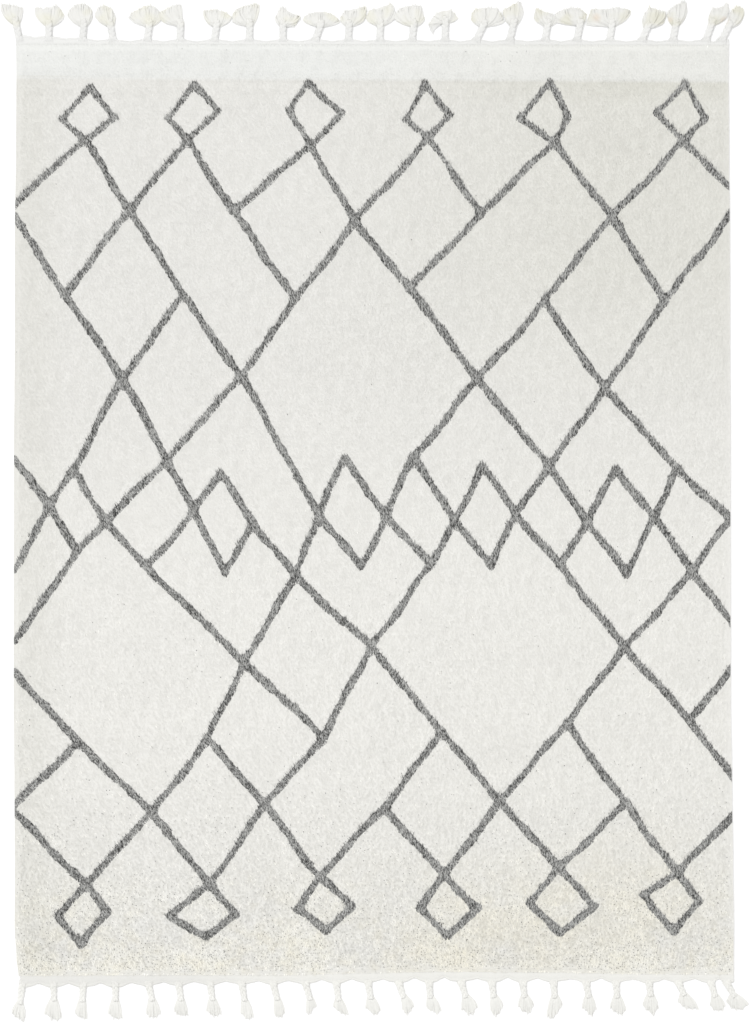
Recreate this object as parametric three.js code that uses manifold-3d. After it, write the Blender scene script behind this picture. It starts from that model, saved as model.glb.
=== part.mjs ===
// A cut-pile rug lying flat, with a flat-woven web and plaited tassels at each short end.
// Millimetres. X runs across the rug, Y along it, and Z up from the floor that it lies on.
import * as THREE from "three";
import { mergeVertices } from "three/addons/utils/BufferGeometryUtils.js";
import Module from "manifold-3d";

const wasm = await Module();
wasm.setup();

// Driving dimensions
const GAP = 0.3; // left between neighbouring pieces
const PILE_HEIGHT = 15; // backing and pile together
const RIM_HEIGHT = 10; // where the pile falls away along its rim
const RIM_SLOPE = 12; // from the rim to the full height of the pile
const LUMP = 0.7; // how far the pile rises and sinks over a hand's width
const EDGE_CORD_WIDTH = 5;
const EDGE_CORD_HEIGHT = 6;
const WEB_HEIGHT = 4;
const WEB_SINK = 8; // how far a tassel's root runs back into the web
const STEM_WIDTH = 17;
const STEM_HEIGHT = 8;
const PLAIT_TURNS = 4;
const PLAIT_SWING = 1.2; // how far the plait's turns step to either side
const TIPS = 5; // stated for the brush of each tassel
const LOCKS = 5; // in each brush
const LOCK_ROOTS = 5; // from the middle of the plait's end to the outer side of its outermost lock
const LOCK_SINK = 3; // how far the locks' roots lie inside the plait

const COLUMNS = 17; // cells across the pile
const SCALLOP_STATIONS = [0.15, 0.5, 0.85]; // shares of the way from one tassel to the next

// The outer sides of the rug, which run out of true by a few millimetres
const SIDES = table(["y", "left", "right"], [
  [-1057, -794, 800],
  [-1037, -797, 802],
  [-970, -802, 804],
  [-757, -805, 804],
  [-197, -806, 797],
  [251, -807, 795],
  [1046, -804, 791],
  [1058, -803, 790],
]);

// The two ends. The line gives, by the share of the way across from the left side, where the pile
// stops and the middle of the web's outer edge. Then how deep the scallops of that edge are, the
// line that the tassels are measured from, and which way is out. Taper is how much narrower a plait
// is at its end, bow and bowOut say how the locks curve on the way to their tips, as shares of the
// way across and out, and loft is how high they stand.
const LINE = ["across", "pile", "web"];
const TOP = {
  line: table(LINE, [
    [0, 1046, 1068],
    [0.07, 1046, 1064],
    [0.11, 1046, 1059.5],
    [0.16, 1046, 1057],
    [1, 1044, 1056.5],
  ]),
  scallop: 9, edge: 1055, out: 1, taper: 0.1, bow: 1.1, bowOut: 0.42, loft: 9,
};
const BOTTOM = {
  line: table(LINE, [
    [0, -1038, -1059.5],
    [0.2, -1036.5, -1056],
    [0.36, -1036.5, -1053.5],
    [0.5, -1031, -1050],
    [0.6, -1028.5, -1048],
    [0.75, -1030, -1048.5],
    [0.86, -1034, -1050],
    [1, -1034.5, -1049.5],
  ]),
  scallop: 8, edge: -1054, out: -1, taper: 0.3, bow: 0.9, bowOut: 0.5, loft: 7,
};

// Where the pile's surface bends along the rug: the last hand's width before the top web is
// combed up into a slightly thicker band, which ends in a lip with a trough below it
const BAND = table(["y", "rise"], [
  [-1018, 0],
  [905, 0],
  [945, -1],
  [962, -1.6],
  [974, 0.2],
  [988, 1.4],
  [1010, 0.8],
  [1032, 0.3],
]);
const PLAIN_ROWS = 17; // evenly spaced rows of the pile between the first two rows of the band

// Tassels: root is the place along the web, and the rest is counted from there. Neck is the sideways
// shift of the end of the plait and out its distance. The brush spreads from there to five tips, from
// the left one to the right one: x is a tip's sideways shift and far its distance out.
const TASSEL = [
  "root", "neck", "out", "x1", "x2", "x3", "x4", "x5", "far1", "far2", "far3", "far4", "far5",
];
const TOP_TASSELS = table(TASSEL, [
  [-797, -8, 42, -37, -40, -25, -9, 6, 72, 85, 83, 81, 75],
  [-732, 1, 37, -31, -12, 4, 19, 35, 78, 74, 76, 83, 57],
  [-656, 3, 37, -32, -18, 2, 18, 21, 65, 82, 86, 78, 60],
  [-587, -6, 37, -39, -32, -17, -3, 4, 63, 76, 81, 74, 56],
  [-511, 5, 37, -40, -20, 1, 18, 34, 59, 73, 82, 77, 60],
  [-437, 1, 38, -40, -42, -27, -13, 3, 49, 67, 74, 80, 85],
  [-361, 6, 36, -18, -22, 1, 21, 38, 54, 70, 72, 68, 57],
  [-282, 1, 38, -36, -34, -18, 2, 21, 46, 66, 78, 82, 84],
  [-207, 1, 37, -16, -1, 14, 38, 23, 56, 81, 64, 59, 30],
  [-135, 13, 36, -26, -11, 12, 36, 55, 52, 64, 67, 64, 47],
  [-60, 2, 37, -17, -7, 13, 38, 35, 54, 70, 71, 81, 52],
  [11, 1, 38, -30, -20, 2, 26, 34, 56, 72, 75, 88, 60],
  [83, 4, 37, -38, -31, -14, 18, 27, 56, 70, 79, 83, 54],
  [157, 1, 45, -25, -36, -20, 13, 28, 17, 38, 65, 72, 54],
  [226, 17, 36, -9, -4, 20, 47, 63, 54, 72, 76, 76, 47],
  [302, 9, 40, -9, -13, 3, 22, 29, 52, 71, 80, 91, 74],
  [381, 6, 38, -23, -18, -5, 16, 27, 54, 77, 67, 63, 47],
  [452, 8, 39, -51, -44, -24, 1, 23, 47, 65, 74, 77, 63],
  [526, 5, 37, -51, -38, -11, 18, 47, 38, 75, 71, 77, 71],
  [598, 13, 32, 2, 17, 34, 52, 49, 54, 79, 70, 68, 45],
  [668, 6, 38, -12, 0, 13, 27, 30, 65, 78, 85, 91, 72],
  [741, 14, 40, 8, 16, 30, 48, 50, 58, 77, 73, 88, 67],
  [777, 16, 34, 17, 25, 38, 48, 45, 60, 74, 79, 72, 54],
]);
const BOTTOM_TASSELS = table(TASSEL, [
  [-790, -6, 46, -25, -18, -9, 1, 7, 70, 79, 84, 92, 78],
  [-721, 1, 39, -21, -13, -5, 9, 18, 75, 76, 86, 89, 83],
  [-654, -2, 41, -19, -12, -4, 3, 8, 73, 79, 82, 84, 84],
  [-582, 0, 39, -16, -10, -4, 6, 15, 73, 76, 85, 86, 83],
  [-509, 9, 39, -4, 3, 11, 20, 28, 73, 81, 82, 81, 72],
  [-441, 6, 39, -10, -4, 4, 14, 22, 66, 73, 77, 77, 78],
  [-370, 5, 38, -8, 0, 8, 17, 25, 66, 72, 80, 78, 73],
  [-299, 6, 39, -2, 4, 9, 18, 27, 73, 76, 84, 86, 82],
  [-229, 9, 37, 3, 7, 13, 20, 27, 72, 79, 83, 80, 71],
  [-157, 11, 37, 3, 7, 13, 18, 26, 69, 75, 71, 60, 58],
  [-87, 5, 39, -7, 1, 10, 20, 27, 57, 64, 71, 75, 75],
  [-16, 6, 35, -5, 3, 12, 21, 29, 60, 65, 74, 75, 66],
  [53, 10, 32, 9, 14, 19, 28, 35, 62, 70, 77, 66, 56],
  [121, 3, 33, -6, 2, 10, 19, 29, 57, 66, 68, 75, 66],
  [193, 10, 31, 1, 9, 15, 27, 38, 64, 66, 75, 75, 57],
  [262, 4, 31, -3, 2, 8, 17, 26, 64, 74, 81, 73, 56],
  [331, 4, 31, -11, -2, 10, 18, 26, 55, 66, 74, 69, 55],
  [400, 3, 32, -15, -8, -1, 9, 21, 79, 83, 82, 71, 55],
  [473, 6, 31, -10, -2, 6, 13, 23, 61, 64, 73, 79, 63],
  [540, 3, 32, -13, -6, 5, 14, 23, 60, 66, 73, 77, 65],
  [614, 4, 29, -14, -6, 3, 10, 22, 54, 64, 69, 79, 60],
  [680, 12, 27, 0, 8, 18, 32, 47, 46, 55, 61, 62, 63],
  [753, 9, 30, -1, 7, 17, 27, 34, 54, 65, 67, 66, 54],
  [788, 17, 30, 0, 11, 22, 36, 51, 46, 60, 64, 64, 53],
]);

// How much of its fifth of the brush a lock fills, from its root to its tip
const LOCK_FILL = table(["share", "fill"], [
  [0, 0.9],
  [0.3, 0.94],
  [0.6, 0.94],
  [0.85, 0.86],
  [1, 0.6],
]);

function table(columns, rows) {
  return rows.map((row) => Object.fromEntries(columns.map((name, i) => [name, row[i]])));
}

// The value of a column at a place between two rows, eased from one row to the next
function between(rows, key, at, column) {
  let i = 0;
  while (i < rows.length - 2 && rows[i + 1][key] < at) i++;
  const share = THREE.MathUtils.smoothstep(at, rows[i][key], rows[i + 1][key]);
  return THREE.MathUtils.lerp(rows[i][column], rows[i + 1][column], share);
}

const leftSide = (y) => between(SIDES, "y", y, "left");
const rightSide = (y) => between(SIDES, "y", y, "right");
const bandRise = (y) => between(BAND, "y", y, "rise");

// Where the pile stops, at a share of the way from the left side to the right
const pileEnd = (end, across) => between(end.line, "across", across, "pile");

// The pile's own unevenness: two slow waves, one across and one aslant
function lump(x, y) {
  return LUMP * (Math.sin(x / 71 + y / 190) + Math.sin(y / 83 - x / 240 + 1)) / 2;
}

// Closed skin over a row of like sections, with a fan over the first and the last
function loft(sections) {
  const sides = sections[0].length;
  const last = (sections.length - 1) * sides;
  const index = [];
  for (let s = 0; s < last; s += sides) {
    for (let k = 0; k < sides; k++) {
      const next = (k + 1) % sides;
      index.push(s + k, s + next, s + sides + next, s + k, s + sides + next, s + sides + k);
    }
  }
  for (let k = 1; k < sides - 1; k++) {
    index.push(0, k + 1, k, last, last + k, last + k + 1);
  }
  return geometryOf(sections.flat(), index);
}

function geometryOf(points, index) {
  return new THREE.BufferGeometry().setFromPoints(points).setIndex(index);
}

const point = (x, y, z) => new THREE.Vector3(x, y, z);

// Stations of the pile: shares of the way across, with a narrow first and last cell for the rim
function acrossStations() {
  const width = SIDES[4].right - SIDES[4].left;
  const rim = RIM_SLOPE / width;
  const shares = [0];
  for (let i = 0; i <= COLUMNS - 2; i++) {
    shares.push(rim + ((1 - 2 * rim) * i) / (COLUMNS - 2));
  }
  return [...shares, 1];
}

// Stations along the rug between its two pile ends, closer together where the band bends
function alongStations() {
  const first = BAND[0].y;
  const step = (BAND[1].y - first) / PLAIN_ROWS;
  const plain = Array.from({ length: PLAIN_ROWS }, (_, i) => first + step * i);
  return [...plain, ...BAND.slice(1).map((row) => row.y)];
}

const ACROSS = acrossStations();
const ALONG = alongStations();

// Rows of the pile from the bottom end to the top one: every row's place along the rug by column
function rowPlaces(across) {
  return [pileEnd(BOTTOM, across), ...ALONG, pileEnd(TOP, across)];
}

// The pile with its backing: a flat underside, a lumpy top, and a lower rim all round
function pileGeometry() {
  const inset = EDGE_CORD_WIDTH + GAP;
  const columns = ACROSS.length;
  const rows = ALONG.length + 2;
  const upper = [];
  const under = [];
  ACROSS.forEach((across, i) => {
    rowPlaces(across).forEach((y, j) => {
      const x = THREE.MathUtils.lerp(leftSide(y) + inset, rightSide(y) - inset, across);
      const onRim = i === 0 || i === columns - 1 || j === 0 || j === rows - 1;
      upper.push(point(x, y, onRim ? RIM_HEIGHT : PILE_HEIGHT + lump(x, y) + bandRise(y)));
      under.push(point(x, y, 0));
    });
  });
  const below = upper.length;
  const index = [];
  const quad = (a, b, c, d) => index.push(a, b, c, a, c, d);
  for (let i = 0; i < columns - 1; i++) {
    for (let j = 0; j < rows - 1; j++) {
      const a = i * rows + j;
      quad(a, a + rows, a + rows + 1, a + 1);
      quad(below + a, below + a + 1, below + a + rows + 1, below + a + rows);
    }
    const near = i * rows;
    const far = near + rows - 1;
    quad(near, below + near, below + near + rows, near + rows);
    quad(far + rows, below + far + rows, below + far, far);
  }
  for (let j = 0; j < rows - 1; j++) {
    const right = (columns - 1) * rows + j;
    quad(j + 1, below + j + 1, below + j, j);
    quad(right, below + right, below + right + 1, right + 1);
  }
  return geometryOf([...upper, ...under], index);
}

// The overcast cord along one side: six-sided, flat where it lies, on the pile's own stations
function edgeCordGeometry(side, across, inward) {
  const sections = rowPlaces(across).map((y) => {
    const at = (share, z) => point(side(y) + inward * share * EDGE_CORD_WIDTH, y, z);
    const ring = [
      at(0.15, 0),
      at(1, 0),
      at(1, EDGE_CORD_HEIGHT * 0.7),
      at(0.7, EDGE_CORD_HEIGHT),
      at(0.3, EDGE_CORD_HEIGHT),
      at(0, EDGE_CORD_HEIGHT * 0.5),
    ];
    return inward > 0 ? ring.reverse() : ring;
  });
  return loft(sections);
}

// The flat-woven web beyond the pile, at GAP from it. Its outer edge is scalloped: it stands
// furthest out at each tassel and least halfway between two.
function webGeometry(end, tassels) {
  const inset = EDGE_CORD_WIDTH + GAP;
  const pileLine = ACROSS.map((across) => {
    const y = pileEnd(end, across);
    return { x: THREE.MathUtils.lerp(leftSide(y) + inset, rightSide(y) - inset, across), y };
  });
  const innerEdge = (x) => {
    const next = Math.max(1, pileLine.findIndex((place) => place.x > x));
    const [from, to] = x > pileLine.at(-1).x ? pileLine.slice(-2) : pileLine.slice(next - 1, next + 1);
    const share = THREE.MathUtils.clamp((x - from.x) / (to.x - from.x), 0, 1);
    return THREE.MathUtils.lerp(from.y, to.y, share) + end.out * GAP;
  };
  const stations = [{ x: leftSide(pileLine[0].y), bulge: 0.4 }];
  for (let t = 1; t < tassels.length; t++) {
    for (const share of SCALLOP_STATIONS) {
      stations.push({
        x: THREE.MathUtils.lerp(tassels[t - 1].root, tassels[t].root, share),
        bulge: 0.5 * Math.cos(2 * Math.PI * share),
      });
    }
  }
  stations.push({ x: rightSide(pileLine.at(-1).y), bulge: 0.4 });
  const left = stations[0].x;
  const width = stations.at(-1).x - left;
  const sections = stations.map(({ x, bulge }) => {
    const near = innerEdge(x);
    const straight = between(end.line, "across", (x - left) / width, "web");
    const far = straight + end.out * end.scallop * bulge;
    const ring = [
      point(x, near, 0),
      point(x, far, 0),
      point(x, far, WEB_HEIGHT - 1),
      point(x, near, WEB_HEIGHT),
    ];
    return end.out > 0 ? ring : ring.reverse();
  });
  return loft(sections);
}

// The plaited stem: four-sided, its sides stepping in and out as the plait's turns do
function stemGeometry(end, tassel) {
  const sections = [];
  for (let s = 0; s <= PLAIT_TURNS; s++) {
    const share = s / PLAIT_TURNS;
    const away = THREE.MathUtils.lerp(-WEB_SINK, tassel.out, share);
    const swing = (s % 2 ? 1 : -1) * PLAIT_SWING;
    const x = tassel.root + tassel.neck * Math.max(0, away / tassel.out) + swing;
    const y = end.edge + end.out * away;
    const half = (STEM_WIDTH / 2) * (1 - end.taper * share);
    const height = STEM_HEIGHT + (s % 2 ? 0.5 : -0.5) * PLAIT_SWING;
    const ring = [
      point(x - half, y, 0),
      point(x + half, y, 0),
      point(x + half * 0.6, y, height),
      point(x - half * 0.6, y, height),
    ];
    sections.push(end.out > 0 ? ring.reverse() : ring);
  }
  return loft(sections);
}

// The tip that belongs to a side of the brush, which runs from -1 at its left to 1 at its right
function tipAt(tassel, side) {
  const place = ((side + 1) / 2) * (TIPS - 1);
  const from = Math.min(Math.floor(place), TIPS - 2);
  const mix = (name) => {
    const [here, next] = [tassel[name + (from + 1)], tassel[name + (from + 2)]];
    return THREE.MathUtils.lerp(here, next, place - from);
  };
  return { x: mix("x"), away: mix("far") };
}

// A place in the brush, at a share of the way from the end of the plait to the tip of its side
function brushPoint(end, tassel, side, share) {
  const tip = tipAt(tassel, side);
  const at = (x, away) => point(tassel.root + x, end.edge + end.out * away, 0);
  const start = tassel.neck + side * LOCK_ROOTS;
  const bowed = {
    x: THREE.MathUtils.lerp(start, tip.x, end.bow),
    away: THREE.MathUtils.lerp(tassel.out, tip.away, end.bowOut),
  };
  return new THREE.QuadraticBezierCurve3(
    at(start, tassel.out - LOCK_SINK),
    at(bowed.x, bowed.away),
    at(tip.x, tip.away),
  ).getPoint(share);
}

// One lock of the brush: three-sided and flat below, filling most of its fifth of the brush
function lockGeometry(end, tassel, number) {
  const side = (2 * number + 1) / LOCKS - 1;
  const sections = LOCK_FILL.map(({ share, fill }) => {
    const left = brushPoint(end, tassel, side - fill / LOCKS, share);
    const right = brushPoint(end, tassel, side + fill / LOCKS, share);
    const height = THREE.MathUtils.clamp(left.distanceTo(right), 3, end.loft);
    const ridge = left.clone().lerp(right, 0.5).setZ(height);
    return end.out > 0 ? [left, ridge, right] : [right, ridge, left];
  });
  return loft(sections);
}

function solidOf(geometry) {
  const merged = mergeVertices(geometry, 1e-4);
  return new wasm.Manifold(
    new wasm.Mesh({
      numProp: 3,
      vertProperties: new Float32Array(merged.attributes.position.array),
      triVerts: new Uint32Array(merged.index.array),
    }),
  );
}

function joined(geometries) {
  const solids = geometries.map(solidOf);
  const mesh = solids.reduce((whole, piece) => whole.add(piece)).getMesh();
  const points = [];
  for (let v = 0; v < mesh.vertProperties.length; v += mesh.numProp) {
    points.push(point(...mesh.vertProperties.subarray(v, v + 3)));
  }
  return geometryOf(points, [...mesh.triVerts]);
}

// The fringe of one end: the web with the plaits fused into it, and five locks out of each plait
function fringeGeometry(end, tassels) {
  const pieces = [webGeometry(end, tassels)];
  for (const tassel of tassels) {
    pieces.push(stemGeometry(end, tassel));
    for (let k = 0; k < LOCKS; k++) {
      pieces.push(lockGeometry(end, tassel, k));
    }
  }
  return joined(pieces);
}

const PILE = new THREE.MeshStandardMaterial({ color: 0xe9e8e3, roughness: 0.95, metalness: 0 });
const CORD = new THREE.MeshStandardMaterial({ color: 0xe4e4e0, roughness: 0.9, metalness: 0 });
const YARN = new THREE.MeshStandardMaterial({ color: 0xf1f0ea, roughness: 0.9, metalness: 0 });

const rug = new THREE.Group();

function addMesh(name, geometry, material) {
  const mesh = new THREE.Mesh(geometry, material);
  mesh.name = name;
  rug.add(mesh);
}

addMesh("pile_body", pileGeometry(), PILE);
addMesh("edge_left", edgeCordGeometry(leftSide, 0, 1), CORD);
addMesh("edge_right", edgeCordGeometry(rightSide, 1, -1), CORD);
addMesh("fringe_top", fringeGeometry(TOP, TOP_TASSELS), YARN);
addMesh("fringe_bottom", fringeGeometry(BOTTOM, BOTTOM_TASSELS), YARN);

// The origin is on the floor under the middle of everything
const middle = new THREE.Box3().setFromObject(rug).getCenter(new THREE.Vector3());
rug.position.set(-middle.x, -middle.y, 0);

export default rug;
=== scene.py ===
import math
import bpy
import numpy as np
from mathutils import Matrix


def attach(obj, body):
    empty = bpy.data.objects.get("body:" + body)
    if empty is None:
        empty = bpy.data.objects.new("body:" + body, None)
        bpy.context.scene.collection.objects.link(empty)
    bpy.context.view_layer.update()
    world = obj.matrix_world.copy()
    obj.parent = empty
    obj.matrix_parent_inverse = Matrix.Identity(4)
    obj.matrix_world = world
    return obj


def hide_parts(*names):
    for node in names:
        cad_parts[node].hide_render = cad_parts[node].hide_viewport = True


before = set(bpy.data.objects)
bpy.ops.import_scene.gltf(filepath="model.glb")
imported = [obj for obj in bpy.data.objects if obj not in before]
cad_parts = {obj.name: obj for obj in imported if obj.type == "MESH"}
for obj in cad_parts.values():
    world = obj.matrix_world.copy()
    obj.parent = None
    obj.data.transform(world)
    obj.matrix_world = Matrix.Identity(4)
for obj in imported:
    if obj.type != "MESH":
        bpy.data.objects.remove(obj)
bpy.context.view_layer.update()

# The camera hangs straight above the middle of the rug and looks down on it, with the end that the
# pile leans towards at the top. A pixel of the photograph is 2.24 mm wide on the rug.
PIXEL = 0.00224
PHOTO_LONG_SIDE = 1024
CAMERA_HEIGHT = 9.0
SCALE_HEIGHT = 0.011  # above the floor, where a pixel is that wide

camera_data = bpy.data.cameras.new("camera")
camera = bpy.data.objects.new("camera", camera_data)
bpy.context.scene.collection.objects.link(camera)
camera.location = (0, 0, CAMERA_HEIGHT)
half_view = PHOTO_LONG_SIDE * PIXEL / 2 / (CAMERA_HEIGHT - SCALE_HEIGHT)
camera_data.lens = camera_data.sensor_width / 2 / half_view
camera_data.clip_end = 60
bpy.context.scene.camera = camera


# The outline of the rug. The weaver's selvedges run out of true by a few millimetres, and so do the
# lines at each end where the pile and the flat web stop. Places are in metres from the middle, and
# the first column of each table says where along or across the rest of its row holds.
SIDES = np.array([  # along, left, right
    (-1.057, -0.7945, 0.8045),
    (-1.037, -0.7995, 0.8045),
    (-1.000, -0.804, 0.804),
    (-0.930, -0.808, 0.8045),
    (-0.800, -0.8075, 0.803),
    (-0.600, -0.8085, 0.8005),
    (-0.430, -0.810, 0.7975),
    (0.100, -0.8095, 0.797),
    (0.400, -0.8075, 0.796),
    (0.640, -0.8075, 0.7955),
    (0.800, -0.805, 0.794),
    (1.000, -0.804, 0.7925),
    (1.058, -0.805, 0.7935),
])
TOP = {
    "line": np.array([  # share of the way across, where the pile stops, middle of the web's edge
        (0, 1.046, 1.068),
        (0.07, 1.046, 1.064),
        (0.11, 1.046, 1.0595),
        (0.16, 1.046, 1.058),
        (1, 1.044, 1.0575),
    ]),
    "out": 1,
}
BOTTOM = {
    "line": np.array([
        (0, -1.038, -1.062),
        (0.12, -1.037, -1.0615),
        (0.2, -1.0365, -1.058),
        (0.36, -1.0365, -1.055),
        (0.5, -1.031, -1.0515),
        (0.6, -1.0285, -1.0495),
        (0.75, -1.030, -1.050),
        (0.86, -1.034, -1.0515),
        (1, -1.0345, -1.051),
    ]),
    "out": -1,
}
INSET = 0.0053  # from the outer side of a side cord to the foot of the pile
SIDE_LAP = 0.0047  # how far the pile reaches past its foot, over the side cords
END_LAP = 0.0020  # and over the webs


def smooth_step(share):
    """3s^2 - 2s^3, for a share from 0 to 1."""
    share = np.clip(share, 0, 1)
    return share * share * (3 - 2 * share)


def eased(at, table, column=1):
    """A table's value at a place: from each row's value to the next one's along a smooth step."""
    places, values = table[:, 0], table[:, column]
    row = np.clip(np.searchsorted(places, at) - 1, 0, len(places) - 2)
    share = (at - places[row]) / (places[row + 1] - places[row])
    return values[row] + (values[row + 1] - values[row]) * smooth_step(share)


def left_side(y):
    return eased(y, SIDES)


def right_side(y):
    return eased(y, SIDES, 2)


def pile_sides(y, lap):
    """Where the pile's left and right side lie, a lap past its foot."""
    return left_side(y) + INSET - lap, right_side(y) - INSET + lap


def pile_ends(across, lap):
    """Where the pile stops at the foot and at the top of the rug, a lap past its foot."""
    return eased(across, BOTTOM["line"]) - lap, eased(across, TOP["line"]) + lap


def inside(x, y):
    """How far in from the pile's rim a place lies, and the way out to the nearest rim as x and y."""
    left, right = pile_sides(y, SIDE_LAP)
    south, north = pile_ends((x - left) / (right - left), END_LAP)
    rooms = np.stack([x - left, right - x, y - south, north - y])
    ways = np.array([(-1, 0), (1, 0), (0, -1), (0, 1)], float)[rooms.argmin(0)]
    return rooms.min(0), ways


def by_side(out, values):
    """The value for the side of the rug that the way out leads to."""
    ways = {"left": out[..., 0] < 0, "right": out[..., 0] > 0, "top": out[..., 1] > 0}
    return np.select(list(ways.values()), [values[side] for side in ways], values["foot"])


def waves(x, y, length, seed):
    """Soft unevenness, mostly between -1 and 1: a third of the sum of nine sine waves, each with its
    own direction, its own phase, and 0.7 to 1.5 times the length."""
    total = 0
    for turn, stretch, phase in np.random.default_rng(seed).random((9, 3)):
        per_metre = 2 * math.pi / (length * (0.7 + 0.8 * stretch))
        heading = 2 * math.pi * turn
        along = x * math.cos(heading) + y * math.sin(heading)
        total = total + np.sin(per_metre * along + 2 * math.pi * phase)
    return total / 3


# The lattice is a weaver's diamond net in grey tufts of the same pile. It hangs between two rows of
# small diamonds, and a third row stands across its middle. Places are in centimetres from the
# middle of the rug.
DIAMONDS = {  # tip, left corner, right corner, and the foot where the net takes over
    "t1": ((-64, 95.5), (-70, 88.5), (-58.5, 88.5), (-64.5, 83.5)),
    "t2": ((-40.5, 96), (-46, 88.5), (-35, 90), (-42, 83.5)),
    "t3": ((-15, 96.5), (-19.5, 90), (-7.5, 89.5), (-14.5, 82.5)),
    "t4": ((11, 96), (7, 88.5), (17, 89), (12, 84)),
    "t5": ((39.5, 96.5), (32.5, 88.5), (43.5, 89), (40, 83)),
    "t6": ((69.5, 96.5), (63, 90), (74, 88.5), (69, 83)),
    "u1": ((-66, -96.5), (-71, -90.5), (-60, -89.5), (-64.5, -83)),
    "u2": ((-38, -94.5), (-46, -90.5), (-31.5, -90), (-37, -83)),
    "u3": ((-11, -93.5), (-17.5, -88.5), (-5, -88), (-12.5, -81.5)),
    "u4": ((16.5, -94.5), (10, -88.5), (23, -88.5), (15.5, -81)),
    "u5": ((41.5, -94), (34.5, -87), (49, -88), (41.5, -79.5)),
    "u6": ((67, -93.5), (60.5, -85.5), (72.5, -87), (67.5, -80.5)),
}
CROSSINGS = {  # rows of the net from the top down, then the places on the left and the right side
    "a": [(-55, 68), (-31.5, 67.5), (-4.5, 65.5), (24, 67), (53, 66.5)],
    "b": [(-69.5, 49), (-43, 49), (-17.5, 48), (7.5, 50.5), (38, 47.5), (65, 47.5)],
    "c": [(-56.5, 30), (-30, 30.5), (23, 30), (51.5, 28)],
    "d": [(-67.5, 10), (-46.5, 12), (-34.5, 9), (-7, 12.5), (8.5, 12.5),
          (24, 10.5), (39, 10.5), (54, 10), (67.5, 10)],
    "e": [(-73, 1.5), (-60.5, -2), (-40.5, 0.5), (-27.5, -2), (-12.5, -0.5),
          (2.5, -0.5), (18, -1.5), (31.5, 0), (47.5, -2), (62.5, -1)],
    "f": [(-66.5, -8.5), (-51, -12), (-33.5, -13.5), (-18, -14), (-3, -12),
          (12.5, -11.5), (26, -12), (41.5, -12), (56.5, -13.5), (71, -13)],
    "g": [(-29, -33.5), (-1, -30), (56, -30)],
    "h": [(-66.5, -51.5), (-37.5, -50.5), (-11.5, -50.5), (15, -49), (43, -47), (70.5, -46.5)],
    "i": [(-50, -67), (-24.5, -65), (2, -66), (28, -64.5), (56, -65)],
    "l": [(-81, 69.5), (-81, 67), (-81, 12.5), (-81, -13),
          (-81, -29), (-81, -35.5), (-81, -65.5), (-81, -67)],
    "r": [(81, 72), (81, 69), (81, -2.5), (81, 0),
          (81, -26), (81, -33), (81, -60), (81, -67)],
}
THREADS = [
    "t1 l1", "t1 a1", "t2 a1", "t2 a2 b3", "t3 a2", "t3 a3", "t4 a3 b3", "t4 a4", "t5 a4 b4", "t5 a5",
    "t6 a5", "t6 r1", "a5 b6", "a5 b5 c3", "b5 c4", "r2 b6 c4", "a3 b4 c3", "l2 b1 c1", "a1 b1",
    "a1 b2 c2", "b2 c1", "b3 c2", "c1 d1 e1 l4", "c1 d2 e3 f3", "c2 d2 e2 f1 l5", "l3 e1 f1",
    "d1 e2 f2 g1 h3", "f2 e3 d3 e4 f4 g2", "e4 f3", "c2 e5 f5", "f4 e5 d4 e6 f6", "c3 d5 e6 f5",
    "c3 d7 e9 f9", "d5 e7 f7", "f6 e7 d6 e8 f8 g3", "c4 d7 e8 f7", "c4 d9 r3",
    "f8 e9 d8 e10 f10 r5", "d9 e10 f9", "f10 r4", "f4 g1 h2 i1 u1", "f6 g2 h3 i2 u2",
    "f10 g3 h5 i4 u4", "l6 h1 i1 u2", "h1 l7", "l8 u1", "h2 i2 u3", "g2 h4 i4 u5", "h4 i3 u3",
    "i3 u4", "h5 i5 u6", "i5 u5", "g3 h6 r7", "h6 r6", "r8 u6",
]
LINE_HALF = 0.0077  # half the width of a grey line
LINE_UNEVEN = 0.0009  # how much that wanders
FALLING_WIDER = 0.0006  # how much more it is where the line falls to the right
TOP_THINNER = ((0.72, 0.80), (0, 0.0014))  # along, how much less it is in the uppermost diamonds
SLOW_STRAY = 0.0020  # how far a line strays from its straight stretches
QUICK_STRAY = 0.0008
KNOT = 0.0022  # over what distance lines that meet flow together
KNOT_ROW = 0.0065  # the height of a row of knots
ROW_LENGTH = 0.06  # after which a row takes another step
ROW_WAVER = 0.002
ROW_STEP = 0.0016  # how far a row's knots reach past the drawn line, or stop short of it


def place_of(name):
    if name in DIAMONDS:
        return DIAMONDS[name][3]
    return CROSSINGS[name[0]][int(name[1:]) - 1]


def lattice_stretches():
    """Every straight stretch of the net as two places, in metres, with a diamond's four sides."""
    runs = [[place_of(name) for name in thread.split()] for thread in THREADS]
    runs += [(foot, left, tip, right, foot) for tip, left, right, foot in DIAMONDS.values()]
    return np.array([(*a, *b) for run in runs for a, b in zip(run, run[1:])]) / 100


def stray(x, y, seed):
    """How far a slow wave and a quick one together move a place."""
    return SLOW_STRAY * waves(x, y, 0.16, seed) + QUICK_STRAY * waves(x, y, 0.03, seed + 1)


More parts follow.
